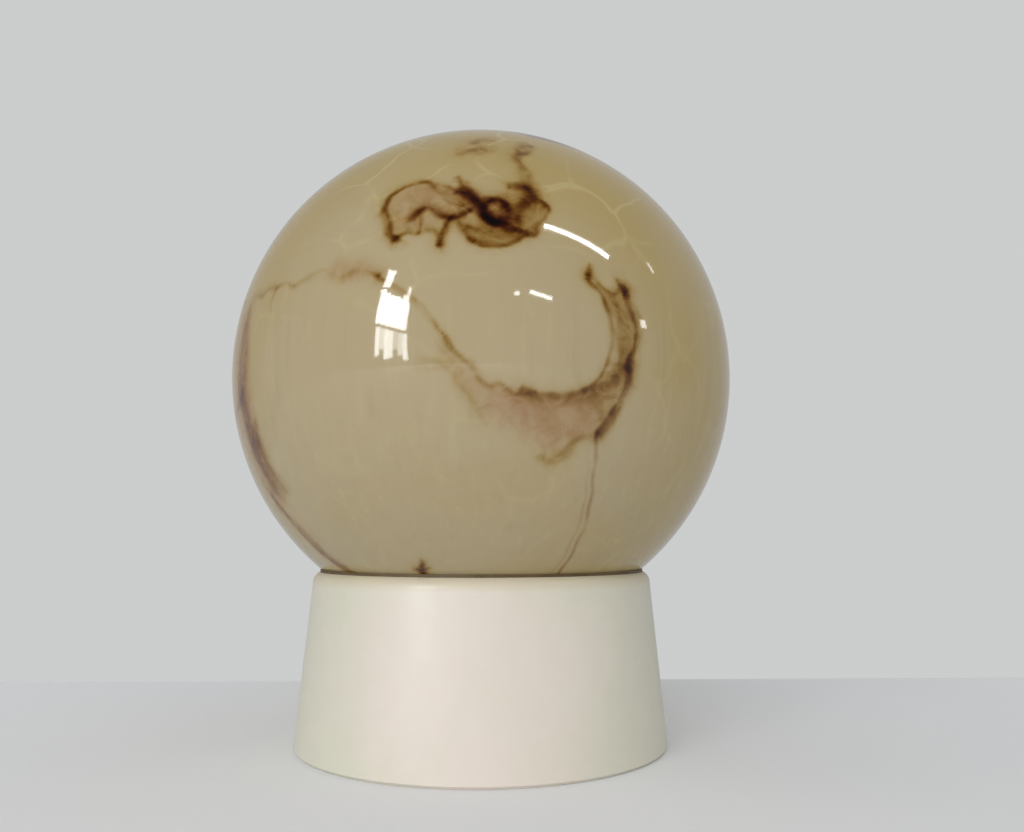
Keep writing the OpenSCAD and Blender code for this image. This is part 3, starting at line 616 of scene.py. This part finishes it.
def marbled_glass():
    """Beige cased glass. Ink, wash and mauve each take light away by colour, as layers of stain do."""
    g = Glaze("marbled_glass")
    grain = g.noise(620, 4, 0.65)
    ripple = g.noise(190, 3, 0.6, 1.2)
    ink = g.math("MULTIPLY", g.field("ink"), g.span(grain, 0.25, 0.75, 0.72, 1.22))
    wash = g.math("MULTIPLY", g.field("wash"), g.span(ripple, 0.25, 0.75, 0.5, 1.5))
    mauve = g.math("MULTIPLY", g.field("mauve"), g.span(ripple, 0.3, 0.7, 0.7, 1.2))
    wisp = g.field("wisp")
    # fine smoky fibres: the ridges of a strongly bent noise
    bent = g.noise(62, 5, 0.55, 1.9)
    ridge = g.math("ABSOLUTE", g.math("SUBTRACT", bent, 0.5))
    fibre = g.math("MULTIPLY", g.span(ridge, 0.0, 0.035, 1, 0), wisp)
    soft = g.math("MULTIPLY", g.span(ridge, 0.0, 0.11, 1, 0), wisp)
    ink = g.math("ADD", ink, g.math("MULTIPLY", fibre, 0.06))
    wash = g.math("ADD", wash, g.math("MULTIPLY", soft, 0.55))
    # the ground: yellower away from its grey middle, which is partly a painted reflection veil, with broken
    # pale lines and faint upright streaks
    upper = g.span(g.height(), GLOBE_Z - 10 * MM, GLOBE_Z + 55 * MM)
    away = g.distance(Vector((0, 0, GLOBE_Z)) + GLOBE_R * toward(*GREY_VEIL_MIDDLE))
    patches = g.span(g.noise(22, 3, 0.5, 0.6), 0.35, 0.65, -0.2, 0.2)
    yellow = g.math("ADD", g.span(away, 38 * MM, 88 * MM), patches, clamp=True)
    # painted reflection: a paler grey veil round the front middle, mixed with the glass's own grey and yellow
    # tone
    ground = g.mix(yellow, GLASS_GREY_VEIL, GLASS_YELLOW)
    lines = g.span(g.cell_edges(52, g.drifted(60, 11 * MM)), 0.0, 0.055, 1, 0)
    broken = g.span(g.noise(45, 2), 0.42, 0.6)
    crackle = g.math("MULTIPLY", g.math("MULTIPLY", lines, broken), g.span(upper, 0, 1, 0.14, 0.46))
    ground = g.mix(crackle, ground, GLASS_PALE)
    streak = g.noise(1, 4, 0.6, 0.2, g.stretch((330, 330, 14)))
    lower = g.span(upper, 0, 0.4, 0.22, 0.0)
    ground = g.mix(g.math("MULTIPLY", g.span(streak, 0.5, 0.75), lower), ground, GLASS_PALE)
    ground = g.mix(g.math("MULTIPLY", g.span(streak, 0.45, 0.25), lower), ground, GLASS_DULL)
    # each layer's share of the light it takes, red, green and blue
    shares = []
    for channel in range(3):
        depth = g.math("MULTIPLY", ink, STAIN["ink"][channel])
        depth = g.math("MULTIPLY_ADD", wash, STAIN["wash"][channel], depth)
        depth = g.math("MULTIPLY_ADD", mauve, STAIN["mauve"][channel], depth)
        shares.append(g.math("EXPONENT", g.math("MULTIPLY", depth, -1.0)))
    join = g.add("ShaderNodeCombineColor")
    for socket, share in zip(join.inputs, shares):
        g.put(socket, share)
    stain = g.add("ShaderNodeMix", data_type="RGBA", blend_type="MULTIPLY")
    stain.inputs[0].default_value = 1
    g.put(stain.inputs[6], ground)
    g.put(stain.inputs[7], join.outputs[0])
    g.bump(g.noise(26, 2, 0.4), 0.06, 0.4 * MM)
    return g.set(Base_Color=stain.outputs[2], Roughness=g.span(grain, 0.2, 0.8, 0.035, 0.07), IOR=1.48)


def plastic(name, colour, second, scale, roughness, bump=0.05, bump_scale=900, coat=0.0):
    """A moulded material with slow colour changes, a fine grain and uneven gloss."""
    g = Glaze(name)
    slow = g.span(g.noise(scale, 4, 0.55, 0.8), 0.3, 0.7)
    fine = g.noise(bump_scale, 3, 0.6)
    g.bump(fine, bump, 0.2 * MM)
    g.shader.inputs["Coat Weight"].default_value = coat
    low, high = roughness
    return g.set(Base_Color=g.mix(slow, colour, second), Roughness=g.span(fine, 0.3, 0.7, low, high))


def metal(name, colour, dull, roughness, scratch=(400, 400, 60), spots=0.4):
    """A metal with drawn or turned marks and duller patches."""
    g = Glaze(name)
    marks = g.noise(1, 5, 0.7, 0.0, g.stretch(scratch))
    patch = g.span(g.noise(140, 4, 0.6, 0.7), 0.45, 0.75)
    low, high = roughness
    g.bump(marks, 0.12, 0.1 * MM)
    worn = g.math("ADD", g.span(marks, 0.25, 0.75, low, high), g.math("MULTIPLY", patch, 0.12), clamp=True)
    return g.set(Base_Color=g.mix(g.math("MULTIPLY", patch, spots), colour, dull), Metallic=1.0,
                 Roughness=worn)


LIT_PINK_MIDDLE = (-2 * MM, -53 * MM, 22 * MM)      # where painted light makes the moulding palest, and where it is pinkest, partly its own tone
RIM_SHADE_HEIGHTS = (BASE_H - 4 * MM, BASE_H - 1.6 * MM)     # painted shade and a painted reflection of the globe come onto the rim between these heights
# painted light and shade: the first cream is the lit front, the second the shaded sides, both partly the
# moulding's own tone; the third is painted shade and reflection on the rim
CREAM_LIT_PINK = (0.715, 0.640, 0.565)
CREAM_SHADED_GREEN = (0.635, 0.620, 0.505)
CREAM_RIM_SHADE_REFLECTION = (0.60, 0.53, 0.37)
CREAM_PALE = (0.80, 0.77, 0.69)
CREAM_SPECK = (0.45, 0.38, 0.28)


def cream_moulding():
    """Ivory moulding: painted light makes it palest at the front and darker round the sides; pinker in front,
    greener round the sides, with a faint mottle.
    """
    g = Glaze("cream_moulding")
    mottle = g.span(g.noise(24, 4, 0.55, 1.4), 0.34, 0.66)
    veins = g.span(g.noise(70, 5, 0.6, 2.2), 0.42, 0.62)
    # painted light and shade: palest and pinkest at the front middle, darker and greener round the sides,
    # partly the moulding's own tone
    away = g.distance(LIT_PINK_MIDDLE)
    shade_and_age = g.math("ADD", g.span(away, 14 * MM, 48 * MM), g.span(mottle, 0, 1, -0.14, 0.14), clamp=True)
    ground = g.mix(shade_and_age, CREAM_LIT_PINK, CREAM_SHADED_GREEN)
    ground = g.mix(g.math("MULTIPLY", veins, 0.07), ground, CREAM_PALE)
    # painted shade and painted reflection of the beige globe: the rim turns darker and warmer under the globe
    ground = g.mix(g.span(g.height(), *RIM_SHADE_HEIGHTS, 0, 0.65), ground, CREAM_RIM_SHADE_REFLECTION)
    specks = g.span(g.noise(1500, 2, 0.5), 0.72, 0.8, 0, 0.10)
    skin = g.noise(240, 3, 0.5)
    g.shader.inputs["Coat Weight"].default_value = 0.14
    g.shader.inputs["Coat Roughness"].default_value = 0.18
    g.bump(skin, 0.05, 0.25 * MM)
    return g.set(Base_Color=g.mix(specks, ground, CREAM_SPECK), Roughness=g.span(skin, 0.3, 0.7, 0.46, 0.55),
                 IOR=1.49)


def clear_glass():
    """Clear bulb glass with the faint waves of blown glass."""
    g = Glaze("clear_glass")
    wave = g.noise(55, 2, 0.4)
    g.bump(wave, 0.03, 0.2 * MM)
    return g.set(Base_Color=g.mix(wave, (0.97, 0.99, 0.985), (0.93, 0.97, 0.965)),
                 Roughness=g.span(wave, 0.2, 0.8, 0.0, 0.01), Transmission_Weight=1.0, IOR=1.47)


# name: colour, second colour, scale of their patches, lowest and highest roughness, bump, its scale, coat
PLASTICS = {
    # the gasket's dark brown is partly its own colour and partly painted shade for the shadowed gap between
    # globe and rim
    "seal_rubber": ((0.085, 0.052, 0.015), (0.13, 0.085, 0.03), 120, (0.5, 0.7), 0.2),
    "porcelain": ((0.80, 0.79, 0.75), (0.86, 0.85, 0.82), 60, (0.07, 0.14), 0.03, 400, 0.5),
    "block_plastic": ((0.76, 0.74, 0.67), (0.82, 0.80, 0.74), 150, (0.38, 0.5), 0.1),
    "brown_pvc": ((0.11, 0.042, 0.018), (0.15, 0.06, 0.028), 300, (0.32, 0.45), 0.08),
    "blue_pvc": ((0.012, 0.05, 0.30), (0.02, 0.075, 0.38), 300, (0.32, 0.45), 0.08),
    "grommet_rubber": ((0.02, 0.02, 0.021), (0.04, 0.04, 0.04), 200, (0.5, 0.7), 0.25),
    "black_glass": ((0.008, 0.008, 0.010), (0.018, 0.018, 0.022), 200, (0.08, 0.16), 0.04),
}
# name: colour, dull colour, lowest and highest roughness, scale of the scratches, strength of the dull spots
METALS = {
    "brass": ((0.78, 0.56, 0.22), (0.42, 0.25, 0.09), (0.22, 0.36)),
    "plated_steel": ((0.66, 0.67, 0.69), (0.42, 0.43, 0.46), (0.26, 0.40)),
    "cap_aluminium": ((0.80, 0.80, 0.81), (0.55, 0.55, 0.56), (0.26, 0.40), (90, 90, 900)),
    "solder": ((0.50, 0.50, 0.49), (0.28, 0.28, 0.28), (0.34, 0.5), (300, 300, 300), 0.7),
    "tungsten": ((0.24, 0.235, 0.23), (0.12, 0.12, 0.12), (0.3, 0.45)),
}


def make_materials():
    """One material for each of the record's slots."""
    made = {
        "cream_moulding": cream_moulding(),
        "marbled_glass": marbled_glass(),
        "clear_glass": clear_glass(),
    }
    made.update({name: plastic(name, *values) for name, values in PLASTICS.items()})
    made.update({name: metal(name, *values) for name, values in METALS.items()})
    return made


# ---- Lights, camera, floor ----

def toward(azimuth, elevation):
    """Unit vector at an azimuth (0 is -Y, growing towards +X) and an elevation."""
    return Vector(on_globe(azimuth, elevation))


LIGHT_DISTANCE = 2.4
DAYLIGHT = (0.97, 0.985, 1.0)
BACKDROP = (0.60, 0.61, 0.61)           # what the camera sees past the table
ROOM_BRIGHTEST = (-22, 12)              # azimuth and elevation of the middle of the front
ROOM_FRONT = (0.56, 0.56, 0.565)        # the light from the front, and from behind
ROOM_BACK = (0.50, 0.505, 0.51)
ROOM_LOW = (0.44, 0.44, 0.445)          # what glossy surfaces show of the front, low and high
ROOM_HIGH = (0.10, 0.10, 0.105)

# Each light: its two ends as (azimuth, elevation), its thickness in degrees, and its brightness
HIGHLIGHTS = {
    "strip": ((40.5, 57), (67.7, 41), 2.3, 30),
    "spark_1": ((13.6, 27.1), (15.8, 27.1), 1.7, 17),
    "spark_2": ((20.5, 27.8), (30.0, 24.8), 1.7, 22),
    "spark_3": ((71.6, 16.8), (74.4, 16.8), 2.8, 12),
    "spark_4": ((91.6, 36.6), (91.8, 33.2), 1.3, 6),
}
SOFT_LIGHT = ((-19, -12), (-19, 40), 50, 2.55)
# The window: a pane made of upright strips, and under it strips that end at different heights. An edge is
# its elevation at the window's left side, and how far it falls for each degree to the right.
WINDOW_LEFT = -46.2
PANE_TOP, PANE_FOOT, STREAK_TOP = (28.6, 0.45), (15.4, 0.28), (14.08, 0.28)
PANE_FIRST, PANE_STEP, PANE_STRIPS = -44.7, 2.3, 6
PANE_BRIGHTNESS = 21
STREAK_FIRST, STREAK_STEP, STREAK_WIDTH = -44.4, 2.0, 1.9
STREAKS = [(2.4, 15), (4.8, 10), (1.0, 15), (1.2, 14), (4.5, 6), (2.0, 9), (0.0, 14)]  # lower end, brightness
SLIPS = {
    "window_slip_left": ((-43.1, 36.2), (-44.2, 29.2), 3.3, 21),
    "window_slip_right": ((-32.5, 29.8), (-33.0, 23.0), 1.1, 20),
    "window_corner": ((-34.2, 26.0), (-34.4, 22.5), 1.7, 18),
}


def panel(name, start, end, thick_deg, radiance, colour=(1, 1, 1)):
    """A rectangular light that shows only as a highlight. Its middle line runs from start to end, which are
    directions as (azimuth, elevation)."""
    a, b = toward(*start), toward(*end)
    middle = (a + b).normalized()
    along = (b - a - middle * (b - a).dot(middle)).normalized()
    data = bpy.data.lights.new(name, "AREA")
    data.shape = "RECTANGLE"
    data.size = 2 * LIGHT_DISTANCE * math.tan(a.angle(b) / 2)
    data.size_y = 2 * LIGHT_DISTANCE * math.tan(math.radians(thick_deg) / 2)
    data.energy = radiance * math.pi * data.size * data.size_y
    data.color = colour
    obj = bpy.data.objects.new(name, data)
    turn = Matrix((along, middle.cross(along), middle)).transposed()
    obj.matrix_world = Matrix.Translation(Vector((0, 0, GLOBE_Z)) + LIGHT_DISTANCE * middle) @ turn.to_4x4()
    obj.visible_camera = False
    obj.visible_diffuse = False
    bpy.context.scene.collection.objects.link(obj)
    return obj


def make_soft_light():
    """A wide lamp from the front, a little left, that shapes the object and shows in no reflection."""
    lamp = panel("soft_light", *SOFT_LIGHT)
    lamp.visible_diffuse = True
    lamp.visible_glossy = False


def leaning(edge, azimuth):
    """Elevation of one of the window's leaning edges at an azimuth."""
    height, fall = edge
    return height - fall * (azimuth - WINDOW_LEFT)


def make_window():
    """A window at the front left, whose sides lean: a pane over a streaky one, and slips of sky above."""
    for k in range(PANE_STRIPS):
        azimuth = PANE_FIRST + PANE_STEP * k
        top, foot = leaning(PANE_TOP, azimuth), leaning(PANE_FOOT, azimuth)
        panel("window_pane_%d" % k, (azimuth, top), (azimuth, foot), PANE_STEP, PANE_BRIGHTNESS, DAYLIGHT)
    for k, (foot, radiance) in enumerate(STREAKS):
        azimuth = STREAK_FIRST + STREAK_STEP * k
        top = leaning(STREAK_TOP, azimuth)
        panel("window_streak_%d" % k, (azimuth, top), (azimuth, foot), STREAK_WIDTH, radiance, DAYLIGHT)
    for name, slip in SLIPS.items():
        panel(name, *slip, DAYLIGHT)


def make_room():
    """Soft light that is stronger from the front left, behind an even pale backdrop."""
    world = bpy.data.worlds.new("studio")
    world.use_nodes = True
    nodes, links = world.node_tree.nodes, world.node_tree.links
    place = nodes.new("ShaderNodeTexCoord").outputs["Generated"]
    ray = nodes.new("ShaderNodeLightPath").outputs

    def smooth(value, low, high):
        made = nodes.new("ShaderNodeMapRange")
        made.interpolation_type = "SMOOTHSTEP"
        made.inputs["From Min"].default_value = low
        made.inputs["From Max"].default_value = high
        links.new(value, made.inputs["Value"])
        return made.outputs[0]

    def mixed(share, a, b):
        mix = nodes.new("ShaderNodeMix")
        mix.data_type = "RGBA"
        links.new(share, mix.inputs[0])
        for socket, colour in ((mix.inputs[6], a), (mix.inputs[7], b)):
            if isinstance(colour, tuple):
                socket.default_value = (*colour, 1)
            else:
                links.new(colour, socket)
        return mix.outputs[2]

    facing = nodes.new("ShaderNodeVectorMath")
    facing.operation = "DOT_PRODUCT"
    facing.inputs[1].default_value = toward(*ROOM_BRIGHTEST)
    links.new(place, facing.inputs[0])
    height = nodes.new("ShaderNodeSeparateXYZ")
    links.new(place, height.inputs[0])
    glossy = mixed(smooth(height.outputs["Z"], -0.15, 0.75), ROOM_LOW, ROOM_HIGH)
    front = mixed(ray["Is Glossy Ray"], ROOM_FRONT, glossy)
    room = mixed(smooth(facing.outputs["Value"], -0.75, 0.35), ROOM_BACK, front)
    links.new(mixed(ray["Is Camera Ray"], room, BACKDROP), nodes["Background"].inputs["Color"])
    bpy.context.scene.world = world


def make_lights():
    """The room, the lamp and every highlight."""
    make_room()
    make_soft_light()
    make_window()
    for name, highlight in HIGHLIGHTS.items():
        panel(name, *highlight)


CAMERA_LENS = 32.38         # mm, on a sensor 36 mm wide
CAMERA_SENSOR = 36
CAMERA_PLACE = (0, -0.2839, 0.0604)
CAMERA_UP = 7.386           # degrees that it looks up, and to the right
CAMERA_RIGHT = 1.825


def make_camera():
    """The camera, close in front of the lamp and looking a little up at it."""
    data = bpy.data.cameras.new("camera")
    data.lens = CAMERA_LENS
    data.sensor_width = CAMERA_SENSOR
    data.clip_start = 0.01
    camera = bpy.data.objects.new("camera", data)
    camera.location = CAMERA_PLACE
    camera.rotation_euler = (math.radians(90 + CAMERA_UP), 0, -math.radians(CAMERA_RIGHT))
    bpy.context.scene.collection.objects.link(camera)
    bpy.context.scene.camera = camera


FLOOR_BACK = 115 * MM       # the table's far edge, not far behind the lamp
FLOOR_HALF = 3.0            # its half width, and how far it comes forward
FLOOR_TOP = -0.05 * MM
FLOOR_UNDER = -25 * MM


def make_floor():
    """A plain pale table top, a hair under the base, that ends a little behind the lamp."""
    x = FLOOR_HALF
    ring = [(-x, -x), (x, -x), (x, FLOOR_BACK), (-x, FLOOR_BACK)]
    verts = [(*p, FLOOR_UNDER) for p in ring] + [(*p, FLOOR_TOP) for p in ring]
    faces = [[3, 2, 1, 0], [4, 5, 6, 7]] + [[k, (k + 1) % 4, (k + 1) % 4 + 4, k + 4] for k in range(4)]
    floor = new_object("floor", verts, faces)
    paint = plastic("floor", (0.84, 0.855, 0.87), (0.86, 0.87, 0.88), 5, (0.9, 0.95), 0.02)
    paint.node_tree.nodes["Principled BSDF"].inputs["Specular IOR Level"].default_value = 0.05
    floor.data.materials.append(paint)
    floor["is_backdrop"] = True


# ---- The lamp ----

FILAMENT_WIRE = 0.07 * MM           # its radius
FILAMENT_TURNS = 110
FILAMENT_PER_TURN = 12              # points along each turn
FILAMENT_SIDES = 5                  # and round the wire
FILAMENT_ARC = (-20, 220)           # where its arc starts and how far it goes, in degrees


def make_filament():
    """The hot wire, coiled along the arc that the CAD gives as a plain rod."""
    low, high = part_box("filament")
    rod_r = (high.z - low.z) / 2
    coil_r = rod_r - FILAMENT_WIRE
    arc_r = (high.x - low.x) / 2 - rod_r
    middle = (low + high) / 2
    start, sweep = FILAMENT_ARC
    n, sides = FILAMENT_TURNS * FILAMENT_PER_TURN + 1, FILAMENT_SIDES
    t = np.linspace(0, 1, n)
    a = np.radians(start + sweep * t)
    out = np.stack([np.cos(a), np.sin(a), 0 * a], -1)
    swing = t * FILAMENT_TURNS * TAU
    spoke = np.cos(swing)[:, None] * out + np.sin(swing)[:, None] * np.array([0, 0, 1.0])
    path = arc_r * out + coil_r * spoke + [0, 0, middle.z]
    along = np.gradient(path, axis=0)
    along /= np.linalg.norm(along, axis=1, keepdims=True)
    side = np.cross(along, spoke)
    b = np.arange(sides) * TAU / sides
    ring = np.cos(b)[None, :, None] * spoke[:, None] + np.sin(b)[None, :, None] * side[:, None]
    verts = (path[:, None] + FILAMENT_WIRE * ring).reshape(-1, 3)
    faces = []
    for i in range(n - 1):
        for j in range(sides):
            k = (j + 1) % sides
            faces.append([i * sides + j, i * sides + k, (i + 1) * sides + k, (i + 1) * sides + j])
    faces += [list(range(sides))[::-1], [(n - 1) * sides + j for j in range(sides)]]
    return new_object("coiled_filament", verts, faces, smooth_deg=80)


def dress(materials):
    """Gives every CAD node the material of its slot in the record."""
    for part in frame["record"]["subparts"]:
        node = frame["nodes"][part["node"]]
        node.data.materials.clear()
        node.data.materials.append(materials[part["material_slot"]])


def place(piece, body, slot, node, materials):
    """Puts a finished piece on its body, in place of a CAD node."""
    piece.data.materials.append(materials[slot])
    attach(piece, body)
    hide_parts(node)


def corners(box):
    """A box's corners as plain lists."""
    return [[float(v) for v in corner] for corner in box]


make_camera()
make_lights()
make_floor()
materials = make_materials()
dress(materials)
place(make_globe(), "globe", "marbled_glass", "glass_globe", materials)
place(make_filament(), "bulb", "tungsten", "filament", materials)
bpy.context.scene.view_settings.view_transform = "Standard"

{"cad": corners(cad_box), "visual": corners(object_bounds())}
